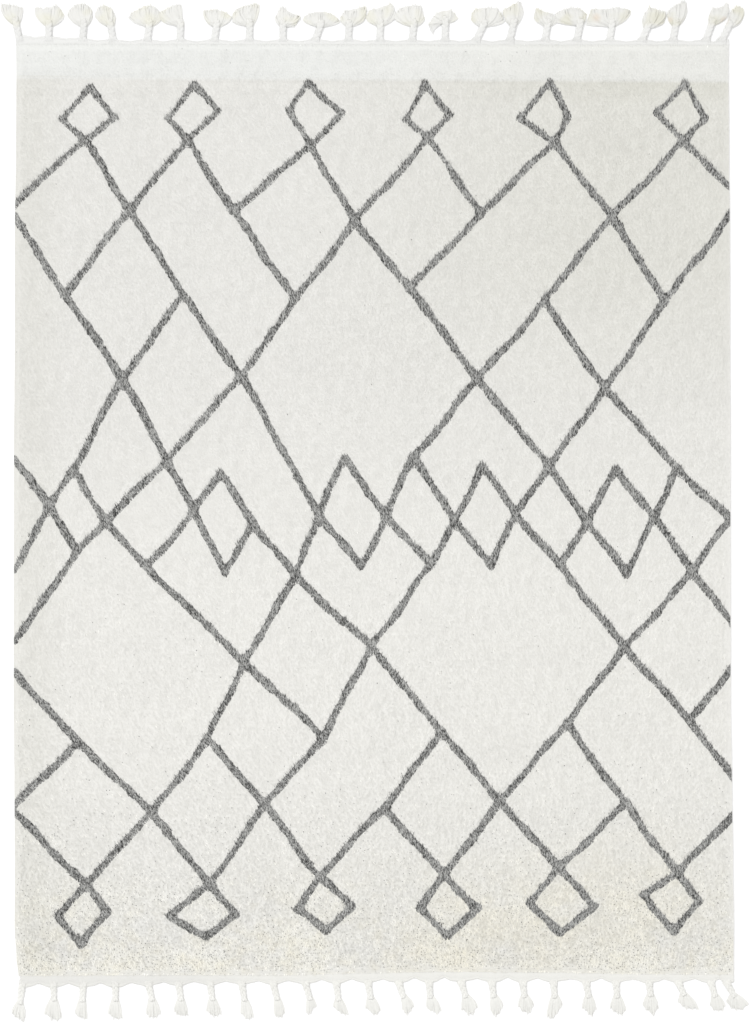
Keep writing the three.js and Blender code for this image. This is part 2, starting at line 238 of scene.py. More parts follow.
def lattice_depth(x, y):
    """How far inside the grey a place lies, and below 0 outside it: half a line's width less the
    distance to the nearest stretch. Distances are joined by a soft minimum, -k log(sum(exp(-d / k))),
    so that a crossing is thicker. The place is first moved by slow and quick waves, and each row of
    knots to one side by a step of its own, the fraction of a large sine of its number."""
    level = y + ROW_WAVER * waves(x, 0 * y, 0.2, 36)
    row = np.floor(level / KNOT_ROW) + 40 * np.floor(x / ROW_LENGTH)
    step = ROW_STEP * (2 * (np.sin(row * 12.9898) * 43758.5453 % 1) - 1)
    px = x + step + stray(x, y, 31)
    py = y + stray(x, y, 33)
    total = np.full(np.shape(px), 1e-30)
    for ax, ay, bx, by in lattice_stretches():
        along, up = bx - ax, by - ay
        share = np.clip(((px - ax) * along + (py - ay) * up) / (along ** 2 + up ** 2), 0, 1)
        distance = np.hypot(px - ax - share * along, py - ay - share * up)
        total += np.exp((FALLING_WIDER * (along * up < 0) - distance) / KNOT)
    half = LINE_HALF - np.interp(y, *TOP_THINNER) + LINE_UNEVEN * waves(x, y, 0.07, 35)
    return half + KNOT * np.log(total)


# The ground of the rug is its woven backing with the dense foot of the pile, one thick sheet that lies
# flat. Its upper side carries the pile's lumps, the slope of the rim, and near the top end the lip and
# the trough that the comb left.
PILE_WIDTH = 1.60
PILE_LENGTH = 2.08
PILE_HEIGHT = 0.015
LUMP = 0.00035  # how uneven the height is
GRAIN = 0.0003  # how uneven the ground is between the tufts
RIM = np.array([  # along, height
    (-1.036, 0.0077),
    (-1.012, 0.0100),
    (1.022, 0.0100),
    (1.046, 0.0077),
])
RIM_SLOPE = 0.012
LIP = 0.0002  # the thickness of the rim where it lies over a cord or a web
RIM_SETTLE = 0.014  # how near the rim the tufts lie lower and the wool has painted light and shade
RIM_PAINTED_LIGHT = {"left": -0.02, "right": 0.04, "top": 0.01, "foot": 0.11}  # painted light by this share at the rim, painted shade below 0
TUFT_RISE = 0.0035  # of the free yarn ends over the ground
NAP_SHIFT = 0.0035  # how far the lean of the yarn carries the pattern towards the top end
GROUND_CELL = 0.0090
BAND = np.array([  # along, rise
    (0.905, 0),
    (0.945, -0.0010),
    (0.962, -0.0016),
    (0.974, 0.0002),
    (0.988, 0.0014),
    (1.010, 0.0008),
    (1.032, 0.0003),
])


def pile_top(x, y):
    """The height of the pile's tips: lumps of slow waves and the band's rise, falling along a smooth
    step to the rim's height within the rim's slope. The band's lip wavers and sinks to the right."""
    lump = LUMP * (np.sin(x / 0.071 + y / 0.190) + np.sin(y / 0.083 - x / 0.240 + 1))
    combed = y + 0.005 * x + 0.0015 * waves(x, 0 * y, 0.3, 42)
    rim = eased(y, RIM)
    full = PILE_HEIGHT + lump + eased(combed, BAND)
    return rim + (full - rim) * smooth_step(inside(x, y)[0] / RIM_SLOPE)


def stations(length):
    """Shares of the way along a side: three short cells over the rim's slope at both ends, and even
    cells between."""
    rim = np.array([0, 1, 2]) * RIM_SLOPE / 3
    count = round((length - 2 * RIM_SLOPE) / GROUND_CELL) + 1
    middle = np.linspace(RIM_SLOPE, length - RIM_SLOPE, count)
    return np.concatenate([rim, middle, length - rim[::-1]]) / length


def new_piece(name, points, face_sets, smooth=True):
    """A mesh piece from an array of points and a list of arrays of faces, one for each number of
    corners. Smooth is one answer for all of the faces, or one for each."""
    mesh = bpy.data.meshes.new(name)
    mesh.vertices.add(len(points))
    mesh.vertices.foreach_set("co", np.asarray(points, np.float32).ravel())
    corners = np.concatenate([faces.ravel() for faces in face_sets])
    counts = np.concatenate([np.full(len(faces), faces.shape[1]) for faces in face_sets])
    mesh.loops.add(len(corners))
    mesh.loops.foreach_set("vertex_index", corners.astype(np.int32))
    mesh.polygons.add(len(counts))
    mesh.polygons.foreach_set("loop_start", (np.cumsum(counts) - counts).astype(np.int32))
    mesh.polygons.foreach_set("use_smooth", np.zeros(len(counts), bool) | smooth)
    mesh.update(calc_edges=True)
    piece = bpy.data.objects.new(name, mesh)
    bpy.context.scene.collection.objects.link(piece)
    return piece


def keep_number(piece, name, values):
    """Keeps one number for each vertex on the piece, for its material to read."""
    attribute = piece.data.attributes.new(name, "FLOAT", "POINT")
    attribute.data.foreach_set("value", np.asarray(values, np.float32).ravel())


def blotch(x, y):
    """How yellow and how open the pile is at its foot end, from 0 to 1, in slow patches."""
    return np.clip(0.5 + 0.45 * waves(x, 1.6 * y, 0.26, 43) + 0.2 * waves(x, y, 0.05, 44), 0, 1)


def spread(across, along, side_lap, end_lap):
    """Shares across and along as a place: first along between the two ends of the pile, and then
    across between its two sides, each as far past the foot of the pile as its lap says."""
    south, north = pile_ends(across, end_lap)
    y = south + (north - south) * along
    left, right = pile_sides(y, side_lap)
    return left + (right - left) * across, y


def near(distance, reach):
    """1 at a distance of 0, falling evenly to 0 at the reach."""
    return np.clip(1 - distance / reach, 0, 1)


def rim_painted_light(x, y):
    """The wool's painted light and shade along the rim, as a tone which falls with the nearness to it."""
    rim, out = inside(x, y)
    return 1 + by_side(out, RIM_PAINTED_LIGHT) * near(rim, RIM_SETTLE)


def mark_sharp(piece, along):
    """Marks every edge between two of the given points as sharp."""
    edges = piece.data.edges
    ends = np.empty(2 * len(edges), np.int32)
    edges.foreach_get("vertices", ends)
    chosen = np.zeros(len(piece.data.vertices), bool)
    chosen[along] = True
    sharp = piece.data.attributes.new("sharp_edge", "BOOLEAN", "EDGE")
    sharp.data.foreach_set("value", chosen[ends].reshape(-1, 2).all(1))


def ground_piece():
    """Upper points on a grid of shares across and along, at the pile's height less the free yarn; a
    ring of points under the lip of the rim and another straight below on the floor; quads over the
    grid, quads from ring to ring, and one flat face underneath."""
    across, along = np.meshgrid(stations(PILE_WIDTH), stations(PILE_LENGTH), indexing="ij")
    x, y = spread(across, along, SIDE_LAP, END_LAP)
    z = pile_top(x, y) - TUFT_RISE + GRAIN * waves(x, y, 0.03, 41) * (inside(x, y)[0] > RIM_SLOPE)
    columns, rows = x.shape
    number = np.arange(columns * rows).reshape(columns, rows)
    upper = np.stack([x, y, z], -1).reshape(-1, 3)
    loop = np.concatenate([number[:-1, 0], number[-1, :-1], number[:0:-1, -1], number[0, :0:-1]])
    foot = np.stack([*spread(across.ravel()[loop], along.ravel()[loop], 0, 0), upper[loop, 2] - LIP], -1)
    points = np.concatenate([upper, foot, foot * (1, 1, 0)])
    high = len(upper) + np.arange(len(loop))
    low = high + len(loop)
    corners = [number[:-1, :-1], number[1:, :-1], number[1:, 1:], number[:-1, 1:]]
    quads = np.stack(corners, -1).reshape(-1, 4)
    walls = [
        np.stack([above, below, np.roll(below, -1), np.roll(above, -1)], -1)
        for above, below in ((loop, high), (high, low))
    ]
    smooth = np.arange(len(quads) + 2 * len(loop) + 1) < len(quads)
    piece = new_piece("pile_ground", points, [quads, *walls, low[None, ::-1]], smooth)
    depth = lattice_depth(x, y + NAP_SHIFT)
    keep_number(piece, "grey_depth", np.concatenate([depth.ravel(), np.full(2 * len(loop), -1)]))
    keep_number(piece, "blotch", blotch(points[:, 0], points[:, 1]))
    # The ground's tone is the painted light and shade along the rim.
    keep_number(piece, "tone", rim_painted_light(points[:, 0], points[:, 1]))
    mark_sharp(piece, loop)
    return piece


ground = ground_piece()
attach(ground, "root")
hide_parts("pile_body")


# The finish of the pile: undyed cream wool, yellower and more speckled towards the foot of the rug,
# painted olive shade in the trough, towards the upper right and along the left side, and mid-grey
# wool in the lattice.
CREAM = (0.736, 0.729, 0.703)
WARM = (0.738, 0.724, 0.662)
COOL = (0.730, 0.735, 0.714)
OLIVE_SHADE = (0.650, 0.644, 0.592)
TAN = (0.730, 0.706, 0.628)
PALE = (0.752, 0.747, 0.724)
LIT_CREAM = (0.785, 0.777, 0.746)
GREY_DARK = (0.042, 0.042, 0.040)
GREY_LIGHT = (0.580, 0.580, 0.562)


class Finish:
    """A new material with its shader, and short calls that add a node and give its output."""

    def __init__(self, name, roughness, sheen):
        self.material = bpy.data.materials.new(name)
        self.material.use_nodes = True
        self.tree = self.material.node_tree
        self.shader = self.tree.nodes["Principled BSDF"]
        self.shader.inputs["Roughness"].default_value = roughness
        self.shader.inputs["Specular IOR Level"].default_value = 0.2
        self.shader.inputs["Sheen Weight"].default_value = sheen
        self.shader.inputs["Sheen Roughness"].default_value = 0.6
        self.place = self.tree.nodes.new("ShaderNodeTexCoord").outputs["Object"]

    def feed(self, socket, value):
        if isinstance(value, bpy.types.NodeSocket):
            self.tree.links.new(value, socket)
        elif socket.type == "RGBA":
            socket.default_value = (*value, 1)
        else:
            socket.default_value = value

    def node(self, kind, inputs, output=0, **settings):
        """Adds a node with its settings and its inputs by number or name, and gives an output."""
        node = self.tree.nodes.new("ShaderNode" + kind)
        for name, value in settings.items():
            setattr(node, name, value)
        for socket, value in inputs.items():
            self.feed(node.inputs[socket], value)
        return node.outputs[output]

    def mix(self, share, first, second, blend="MIX"):
        return self.node("Mix", {0: share, 6: first, 7: second}, 2, data_type="RGBA", blend_type=blend)

    def layered(self, colour, layers):
        """The colour with others laid over it in turn, each by its share."""
        for share, over in layers:
            colour = self.mix(share, colour, over)
        return colour

    def toned(self, colour, tone):
        """The colour made lighter or darker by a tone, which is 1 where it stays."""
        return self.mix(1.0, colour, tone, "MULTIPLY")

    def span(self, value, low, high, to_low=0.0, to_high=1.0):
        """The value's way from low to high, which stops at both, carried over to two other ends."""
        return self.node("MapRange", dict(enumerate((value, low, high, to_low, to_high))))

    def sum(self, first, second):
        return self.node("Math", {0: first, 1: second}, operation="ADD")

    def times(self, product, *factors):
        for factor in factors:
            product = self.node("Math", {0: product, 1: factor}, operation="MULTIPLY")
        return product

    def noise(self, stretch, detail=2.0):
        """Noise on the piece's own coordinates, each multiplied by its number of cells a metre."""
        place = self.node("Mapping", {"Vector": self.place, "Scale": stretch})
        return self.node("TexNoise", {"Vector": place, "Scale": 1.0, "Detail": detail}, "Fac")

    def axis(self, name):
        return self.node("SeparateXYZ", {0: self.place}, name)

    def number(self, name):
        return self.node("Attribute", {}, "Fac", attribute_name=name)

    def near(self, spot, radius):
        """1 at a place on the piece, falling to 0 at the radius."""
        distance = self.node("VectorMath", {0: self.place, 1: spot}, "Value", operation="DISTANCE")
        return self.span(distance, 0.0, radius, 1.0, 0.0)

    def bump(self, height, distance):
        self.feed(self.shader.inputs["Normal"], self.node("Bump", {"Distance": distance, "Height": height}))

    def fibre(self, stretch, distance):
        """Fine noise, by which the skin also rises and sinks."""
        noise = self.noise(stretch)
        self.bump(noise, distance)
        return noise

    def coloured(self, colour):
        self.feed(self.shader.inputs["Base Color"], colour)
        return self.material


TAN_PATCHES = [  # where the wool of the foot end is tan: place and radius
    ((0.60, -0.84, 0.01), 0.20),
    ((0.42, -0.90, 0.01), 0.20),
    ((0.22, -0.96, 0.01), 0.22),
]
PALE_PATCH = ((-0.45, -0.84, 0.01), 0.22)


def cream_colour(finish):
    """Cream by place: warmer towards the foot, in blotches and with tan and pale patches there,
    painted light below the middle, painted olive shade softly towards the upper right and along the
    left side, in the trough and in the short crease at the band's left end, cool on the combed band,
    and with faint streaks."""
    span, times = finish.span, finish.times
    x, y = finish.axis("X"), finish.axis("Y")
    blotches = finish.noise((9, 14, 9), 3.0)
    streaks = finish.noise((4, 160, 4))
    flecks = finish.noise((28, 34, 28))
    foot = span(y, -0.74, -0.98)
    upper_right_shade = times(span(x, -0.2, 0.5, 0.08, 0.65), span(y, 0.2, 0.55, 0.2, 1.0))
    combed = finish.sum(y, times(x, 0.0056))
    trough = times(span(y, 0.905, 0.955), span(combed, 0.9690, 0.9630))
    crease = times(span(combed, 0.9708, 0.9720), span(combed, 0.9720, 0.9738, 0.7, 0.0))
    layers = [
        (span(y, 0.5, -0.95, 0.0, 0.22), WARM),
        (times(foot, finish.number("blotch")), WARM),
        (times(foot, span(flecks, 0.50, 0.66, 0.0, 0.55)), TAN),
        (times(foot, span(flecks, 0.50, 0.34, 0.0, 0.5)), PALE),
        (times(finish.near(*PALE_PATCH), 0.5), PALE),
    ]
    layers += [(times(finish.near(*patch), span(blotches, 0.3, 0.6)), TAN) for patch in TAN_PATCHES]
    layers += [
        # Painted light: brighter cream below the middle of the rug.
        (times(span(y, 0.25, -0.2, 0.0, 0.6), span(y, -1.0, -0.5)), LIT_CREAM),
        # Painted shade: olive towards the upper right and along the left side of the pile.
        (finish.sum(upper_right_shade, span(x, -0.69, -0.76, 0.0, 0.3)), OLIVE_SHADE),
        # Painted shade: olive in the trough below the band's lip.
        (times(trough, span(x, 0.10, 0.6, 0.10, 1.0)), OLIVE_SHADE),
        (times(span(combed, 0.964, 0.972), span(x, -0.15, 0.3, 1.0, 0.62)), COOL),
        # Painted shade: olive along the short crease at the band's left end.
        (times(crease, span(x, -0.66, -0.70)), OLIVE_SHADE),
    ]
    tone = times(span(blotches, 0.3, 0.7, 0.98, 1.01), span(streaks, 0.3, 0.7, 0.99, 1.01))
    return finish.toned(finish.layered(CREAM, layers), tone)


def grey_colour(finish, tone):
    """Grey from dark to light by a tone of its own, a little lighter and darker from place to place."""
    slow = finish.span(finish.noise((22, 22, 22), 1.0), 0.3, 0.7, -0.07, 0.07)
    return finish.mix(finish.sum(tone, slow), GREY_DARK, GREY_LIGHT)


def ground_material():
    finish = Finish("pile_foot", 0.95, 0.0)
    cells = finish.noise((420, 300, 300), 3.0)
    depth = finish.sum(finish.number("grey_depth"), finish.span(cells, 0.25, 0.75, -0.0012, 0.0012))
    grey = grey_colour(finish, finish.span(cells, 0.3, 0.7, 0.05, 0.75))
    # Between the tufts the foot of the pile is painted olive in small patches, as the shade deep in the
    # pile.
    cream = finish.mix(finish.span(cells, 0.4, 0.2, 0.0, 0.35), cream_colour(finish), OLIVE_SHADE)
    cream = finish.toned(cream, finish.number("tone"))
    finish.bump(cells, 0.0015)
    return finish.coloured(finish.mix(finish.span(depth, -0.0006, 0.0006), cream, grey))


ground.data.materials.append(ground_material())


# The free ends of the yarn, cut and combed towards the top end. Each tuft is a closed little tent: three
# corners sunk in the ground and one tip that leans along the nap, over the next tuft.
TUFT_SINK = 0.0012
TUFT_PLACES = ((-0.81, 0.81), (-1.04, 1.05))  # the reach of their grid across and along
TUFT_STRAY = 0.36  # of a pitch, the most that a tuft is moved from its place on the grid
TUFT_ROOM = 0.0015  # between the rim and the nearest tuft
EDGE_SHIFT = 0.001  # how much nearer the foot the grey tufts stand, and nearer the top the cream ones
NAP_CHANCE = np.array([(-1.04, 0.36), (0.2, 0.13)])  # along, by how much a tuft's own way differs


def nap(x, y, rng):
    """The way the yarn leans at a place, as a unit vector: towards the top end, further to the left on
    the left of the rug, turned by slow waves and by a chance of its own, more so towards the foot."""
    turn = 0.20 - 0.30 * x + 0.16 * waves(x, y, 0.5, 51) + 0.08 * waves(x, y, 0.12, 52)
    turn = turn + eased(y, NAP_CHANCE) * rng.standard_normal(x.shape)
    return np.stack([-np.sin(turn), np.cos(turn)], -1)


def scattered(across, along, seed):
    """Places on a grid of these two pitches, every second row half a pitch on, each moved by chance, as
    far as the pile reaches."""
    rng = np.random.default_rng(seed)
    columns, rows = TUFT_PLACES
    x, y = np.meshgrid(np.arange(*columns, across), np.arange(*rows, along))
    x = x + (np.arange(len(x)) % 2)[:, None] * across / 2
    x = (x + across * rng.uniform(-TUFT_STRAY, TUFT_STRAY, x.shape)).ravel()
    y = (y + along * rng.uniform(-TUFT_STRAY, TUFT_STRAY, y.shape)).ravel()
    kept = inside(x, y)[0] > TUFT_ROOM
    return x[kept], y[kept], rng


def raised(flat, height):
    """Places on the floor as points at a height above it."""
    return np.concatenate([flat, np.broadcast_to(height, flat.shape[:-1])[..., None]], -1)


def tuft_mesh(name, x, y, way, wide, length, rise, tone):
    """Four points a tuft: right and left corners a quarter of the length behind its place, a front
    corner a quarter ahead, and the tip a whole length ahead and the rise above the ground there.
    Four faces close it."""
    place = np.stack([x, y], -1)
    ahead = way * length[:, None]
    aside = np.stack([way[:, 1], -way[:, 0]], -1) * wide[:, None] / 2
    back = place - ahead / 4
    flat = np.stack([back + aside, back - aside, place + ahead / 4, place + ahead], 1)
    height = pile_top(flat[..., 0], flat[..., 1]) - TUFT_RISE
    height[:, :3] -= TUFT_SINK
    height[:, 3] += rise
    corners = np.array([(0, 3, 1), (0, 2, 3), (1, 3, 2), (0, 1, 2)])
    faces = (4 * np.arange(len(x))[:, None, None] + corners).reshape(-1, 3)
    piece = new_piece(name, raised(flat, height).reshape(-1, 3), [faces], smooth=False)
    keep_number(piece, "tone", np.repeat(tone, 4))
    keep_number(piece, "blotch", np.repeat(blotch(x, y), 4))
    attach(piece, "root")
    return piece


# The grey tufts of the lattice, set closer than the cream ones in rows across the rug, of a yarn spun
# from dark and light wool. Along the upper edge of a line they lie over the cream as loose hairs.
GREY_ACROSS = 0.0036
GREY_ALONG = 0.0026
GREY_WIDE = (0.0027, 0.0042)
GREY_LONG = (0.0048, 0.0078)
GREY_RISE = (0.0018, 0.0038)
GREY_TONES = (0.02, 0.44, 0.97)  # of the wool that is spun in, from dark to light
GREY_SHARES = (0.28, 0.31, 0.41)
EDGE_SHADE = 0.16  # painted shade at a line's sides, of the scale from dark to light; painted light in its middle
RIM_SHORT = 0.006  # how near the rim they are shorter
HAIR_REACH = 0.006  # how near the upper edge of a line the loose hairs start
HAIR_SHARE = 0.35  # of the tufts there
HAIR_WIDE = 0.6  # of the width and of the length of the other tufts
HAIR_LONG = 1.5


def grey_tufts():
    """Tufts on a close grid wherever the lattice is grey. Each is of one of three tones, with painted
    shade at the sides of a line and painted light in its middle. At a line's upper edge some are
    hairs, and close to the rim all are shorter."""
    x, y, rng = scattered(GREY_ACROSS, GREY_ALONG, 61)
    kept = lattice_depth(x, y + NAP_SHIFT + EDGE_SHIFT) > 0
    x, y = x[kept], y[kept]
    count = len(x)
    way = nap(x, y, rng)
    ahead = lattice_depth(x + HAIR_REACH * way[:, 0], y + HAIR_REACH * way[:, 1] + NAP_SHIFT)
    hair = (ahead < 0) & (rng.random(count) < HAIR_SHARE)
    room = np.clip(inside(x, y)[0] / RIM_SHORT, 0.3, 1)
    tone = rng.choice(GREY_TONES, count, p=GREY_SHARES) + 0.08 * rng.standard_normal(count)
    # Painted shade at the sides of a line, painted light in its middle.
    tone = tone + EDGE_SHADE * (2 * lattice_depth(x, y + NAP_SHIFT) / LINE_HALF - 1).clip(-1, 0.6)
    wide = rng.uniform(*GREY_WIDE, count) * np.where(hair, HAIR_WIDE, 1)
    length = rng.uniform(*GREY_LONG, count) * np.where(hair, HAIR_LONG, 1) * room
    rise = rng.uniform(*GREY_RISE, count)
    return tuft_mesh("lattice_tufts", x, y, way, wide, length, rise, tone.clip(0, 1))


def grey_material():
    finish = Finish("grey_wool", 0.95, 0.1)
    finish.fibre((900, 500, 500), 0.0006)
    return finish.coloured(grey_colour(finish, finish.number("tone")))


lattice_tufts = grey_tufts()
lattice_tufts.data.materials.append(grey_material())


# The cream tufts. Towards the foot of the rug they stand more on end, and more of them are specks:
# dark ones painted as the shade in the gaps between tufts, and pale ones painted as the highlight on
# single ends. They are made in three fields from the foot up.
CREAM_PITCH = 0.0052
FIELDS = [("south", -1.05, -0.36), ("middle", -0.36, 0.34), ("north", 0.34, 1.06)]
CREAM_WIDE = (0.0055, 0.0078)
CREAM_LONG = (0.0090, 0.0115)
SPECKS = np.array([  # along, share of tufts that show as specks
    (-1.04, 0.72),
    (-1.015, 0.54),
    (-0.93, 0.36),
    (-0.75, 0.100),
    (-0.50, 0.018),
    (0.10, 0.001),
    (0.99, 0.001),
    (1.04, 0.015),
])
SPECK_WIDE = (0.0036, 0.0030)  # of the pale specks and of the dark ones
SPECK_LONG = (0.0065, 0.0030)
SPECK_RISE = (1.4, 1.1)
# The specks' tones: a painted highlight for the pale ones, painted shade in the gaps for the dark ones.
HIGHLIGHT_TONE = 1.30
GAP_SHADE_TONES = (0.22, 0.78)
PLAIN_DARKER = 0.11  # how much darker the plain tufts would be where all are specks
BAND_LIES = np.array([(0.93, 0), (0.98, 1)])  # along, how flat the tufts lie
ROUGHNESS = np.array([  # along, how uneven the tufts are, from 0 to 1
    (-1.04, 1.0),
    (-0.90, 0.75),
    (-0.55, 0.35),
    (0.10, 0.18),
    (1.04, 0.15),
])
EDGE_GAP = 0.0006  # between a line and the nearest cream tuft
EDGE_REACH = 0.008  # how near a line the cream tufts are shorter
RIM_LEAN = 0.010  # how near the rim the tufts lean outwards
OUTWARDS = {"left": 0.6, "right": 0.6, "top": 0, "foot": 2.6}  # how much they do so
OVERHANG = {"left": 0.0, "right": 0.0, "top": 0.0005, "foot": 0.0}  # of their tips past the rim
OVERHANG_CHANCE = {"left": 0.0006, "right": 0.0006, "top": 0.0040, "foot": 0.0045}
SIDE_WIDE = 0.0016  # the width that a tuft keeps close to a side


def cream_tufts():
    """Tufts on a grid beside the lattice. A share of them are specks, all narrow and short: half of
    these pale, as a painted highlight on single ends, and half dark, as painted shade in the gaps.
    Close to the rim the tufts lean outwards, and none is longer than brings its tip past the rim by
    its overhang. They rise less there and on the combed band."""
    x, y, rng = scattered(CREAM_PITCH, CREAM_PITCH, 71)
    depth = lattice_depth(x, y + NAP_SHIFT - EDGE_SHIFT)
    kept = depth < -EDGE_GAP
    x, y, depth = x[kept], y[kept], depth[kept]
    count = len(x)
    rim, out = inside(x, y)
    way = nap(x, y, rng)
    way = way + (by_side(out, OUTWARDS) * near(rim, RIM_LEAN))[:, None] * out
    way /= np.linalg.norm(way, axis=1)[:, None]
    past = by_side(out, OVERHANG) + by_side(out, OVERHANG_CHANCE) * rng.random(count)
    reach = (rim + past) / (way * out).sum(1).clip(0.05, None)
    rough = eased(y, ROUGHNESS)
    specks = eased(y, SPECKS)
    speck = rng.random(count) < (0.3 + 1.4 * blotch(x, y)) * specks
    plain = 1 + 0.03 * rough * rng.standard_normal(count) - PLAIN_DARKER * specks
    pale = rng.random(count) < 0.5
    kinds = [speck & pale, speck]
    # Pale specks carry a painted highlight, dark ones painted shade, and plain tufts the rim's painted
    # light and shade.
    tone = np.select(kinds, [HIGHLIGHT_TONE, rng.uniform(*GAP_SHADE_TONES, count)], plain * rim_painted_light(x, y))
    wide = np.select(kinds, SPECK_WIDE, rng.uniform(*CREAM_WIDE, count) * (1 - 0.25 * rough))
    wide = np.where(out[:, 0] != 0, np.minimum(wide, 2 * rim + SIDE_WIDE), wide)
    length = rng.uniform(*CREAM_LONG, count) * np.where(depth > -EDGE_REACH, 0.7, 1)
    length = np.minimum(np.select(kinds, SPECK_LONG, length * (1 - 0.36 * rough)), reach)
    uneven = (1 + 0.24 * rough * rng.standard_normal(count)).clip(0.3, 1.7)
    rise = TUFT_RISE * np.select(kinds, SPECK_RISE, (0.46 + 0.54 * rough) * uneven)
    rise = rise * (1 - 0.82 * near(rim, RIM_SETTLE)) * (1 - 0.5 * eased(y, BAND_LIES))
    pieces = []
    for field, start, stop in FIELDS:
        own = (y >= start) & (y < stop)
        columns = (values[own] for values in (x, y, way, wide, length, rise, tone))
        pieces.append(tuft_mesh("cream_tufts_" + field, *columns))
    return pieces


def cream_material():
    finish = Finish("cream_wool", 0.95, 0.15)
    finish.fibre((700, 400, 400), 0.0004)
    return finish.coloured(finish.toned(cream_colour(finish), finish.number("tone")))


cream_fields = cream_tufts()
cream_wool = cream_material()
for piece in cream_fields:
    piece.data.materials.append(cream_wool)


# The side cords: the outer warps of each long side, overcast with cream yarn that is wound round and
# round them from end to end. The pile laps over them.
CORD_WIDTH = 0.005
CORD_HEIGHT = 0.006
CORD_PITCH = 0.0042  # from one turn of the yarn to the next
CORD_WAVER = 0.0003
CORD_SWELL = 0.1  # of the skin, out and in, over a turn of the yarn
CORD_MIDDLE = 0.94  # of the width and the height, where the skin is half way
CORD_TAPER = ((0, 0.034), (0.58, 1))  # from the ends of a cord, how much of its height it has
CORD_SIDES = 8
CORD_STEPS = 3  # for each turn
CORD_DARK = (0.74, 0.735, 0.71)
CORD_LIGHT = (0.81, 0.805, 0.78)


def angles(sides):
    """The angles of the points of a ring, from half a step past its right side round to the left."""
    return 2 * math.pi * (np.arange(sides) + 0.5) / sides


def ringed(rings):
    """Closed skins over rows of rings, (paths, steps, sides, 3): quads join each ring to the next, and
    a strip of quads from side to side closes each end. A ring turns left round the way it travels.
    Gives the points, a row for each path, and the faces."""
    paths, steps, sides, _ = rings.shape
    number = np.arange(paths * steps * sides).reshape(paths, steps, sides)
    here, ahead = number[:, :-1], number[:, 1:]
    skin = np.stack([here, ahead, np.roll(ahead, -1, 2), np.roll(here, -1, 2)], -1)
    half = np.arange(sides // 2 - 1)
    strip = np.stack([half, half + 1, sides - 2 - half, sides - 1 - half], -1)
    caps = [number[:, 0][:, strip], number[:, -1][:, strip[:, ::-1]]]
    quads = np.concatenate([faces.reshape(-1, 4) for faces in (skin, *caps)])
    return rings.reshape(paths, -1, 3), quads


def rods(points, wide, high, sides):
    """Closed rods along many paths at once. At every step of a path a ring of points lies round it,
    half the width to the side and half the height up, square to the path. Points are (paths, steps,
    3), and wide and high are (paths, steps, sides) or spread over that."""
    along = np.gradient(points, axis=1)
    along /= np.linalg.norm(along, axis=2, keepdims=True)
    side = np.cross(along, (0, 0, 1))
    side /= np.linalg.norm(side, axis=2, keepdims=True)
    up = np.cross(side, along)
    angle = angles(sides)
    across = (np.cos(angle) * wide / 2)[..., None] * side[:, :, None]
    upwards = (np.sin(angle) * high / 2)[..., None] * up[:, :, None]
    return ringed(points[:, :, None] + across + upwards)


def side_cord(name, side, inward, across):
    """A rod along the side, whose skin swells and sinks along a helix, by the cosine of the turns
    made so far less the angle round the cord. It is lower at its two ends."""
    south, north = pile_ends(across, 0)
    turns = round((north - south) / CORD_PITCH)
    y = np.linspace(south, north, turns * CORD_STEPS + 1)
    x = side(y) + inward * (CORD_WIDTH / 2 + CORD_WAVER * waves(y, y, 0.08, 81))
    high = CORD_HEIGHT * np.interp(np.minimum(y - south, north - y), *CORD_TAPER)
    points = np.stack([x, y, high / 2], -1)[None]
    helix = 2 * math.pi * (y - south)[:, None] / CORD_PITCH - angles(CORD_SIDES)
    swell = CORD_MIDDLE * (1 + CORD_SWELL * np.cos(helix)[None])
    skin, quads = rods(points, CORD_WIDTH * swell, high[:, None] * swell, CORD_SIDES)
    skin = skin[0]
    skin[:, 2] = skin[:, 2].clip(0, None)
    return new_piece(name, skin, [quads])


def cord_material():
    finish = Finish("overcast_yarn", 0.9, 0.1)
    fibre = finish.fibre((500, 1200, 500), 0.0005)
    return finish.coloured(finish.mix(finish.span(fibre, 0.3, 0.7), CORD_DARK, CORD_LIGHT))


overcast = cord_material()
for name, side, inward, across in (("left", left_side, 1, 0.0), ("right", right_side, -1, 1.0)):
    cord = side_cord("side_cord_" + name, side, inward, across)
    cord.data.materials.append(overcast)
    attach(cord, "root")
    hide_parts("edge_" + name)


# The fringe of each end: a narrow flat-woven web of the rug's own warps, which are gathered beyond it
# in bundles, plaited in three strands and brushed out. The heads of the top end were combed back over
# their plaits and curl, and those of the bottom end lie straight, as little brooms.
WEB_HEIGHT = 0.004
WEB_GAP = 0.0003  # between the pile and the web
WARP_PITCH = 0.0035
WEB_PROFILE = np.array([  # share of the way out, share of the height
    (0, 0),
    (0, 0.97),
    (0.03, 1.00),
    (0.25, 1.00),
    (0.66, 0.97),
    (0.73, 0.78),
    (0.80, 0.95),
    (0.96, 0.84),
    (1, 0.45),
    (0.99, 0),
])
WARPS = 7  # bundles that gather from the web into each plait
WARP_STEPS = 5
WARP_SIDES = 6
WARP_MARGIN = 0.003  # from the sides of the web
WARP_WIDE = 0.0050
WARP_SLIMMER = 0.0014  # where they have run together
WARP_LOW = 0.0012  # the height of their middle at the web, and how much it rises from there
WARP_RISE = 0.0026
GATHER_START = -0.006  # from the line of the tassels
GATHER_LENGTH = 0.017
GATHER_HALF = 0.0050  # half the spread of the bundles where they have run together
PLAIT_PERIOD = 0.032  # along the plait, in which a strand goes to one side, to the other and back
PLAIT_HIGH = 0.0045
PLAIT_LOW = 0.0002  # the height of its middle at the web, and how much it rises from there
PLAIT_RISE = 0.0032
PLAIT_STEPS = 26
PLAIT_SIDES = 8
TIPS = 5  # stated for each brush
NECK_HALF = 0.0058  # half the width of a brush where the plait ends
NECK_SUNK = 0.003  # how far back in the plait the brush starts
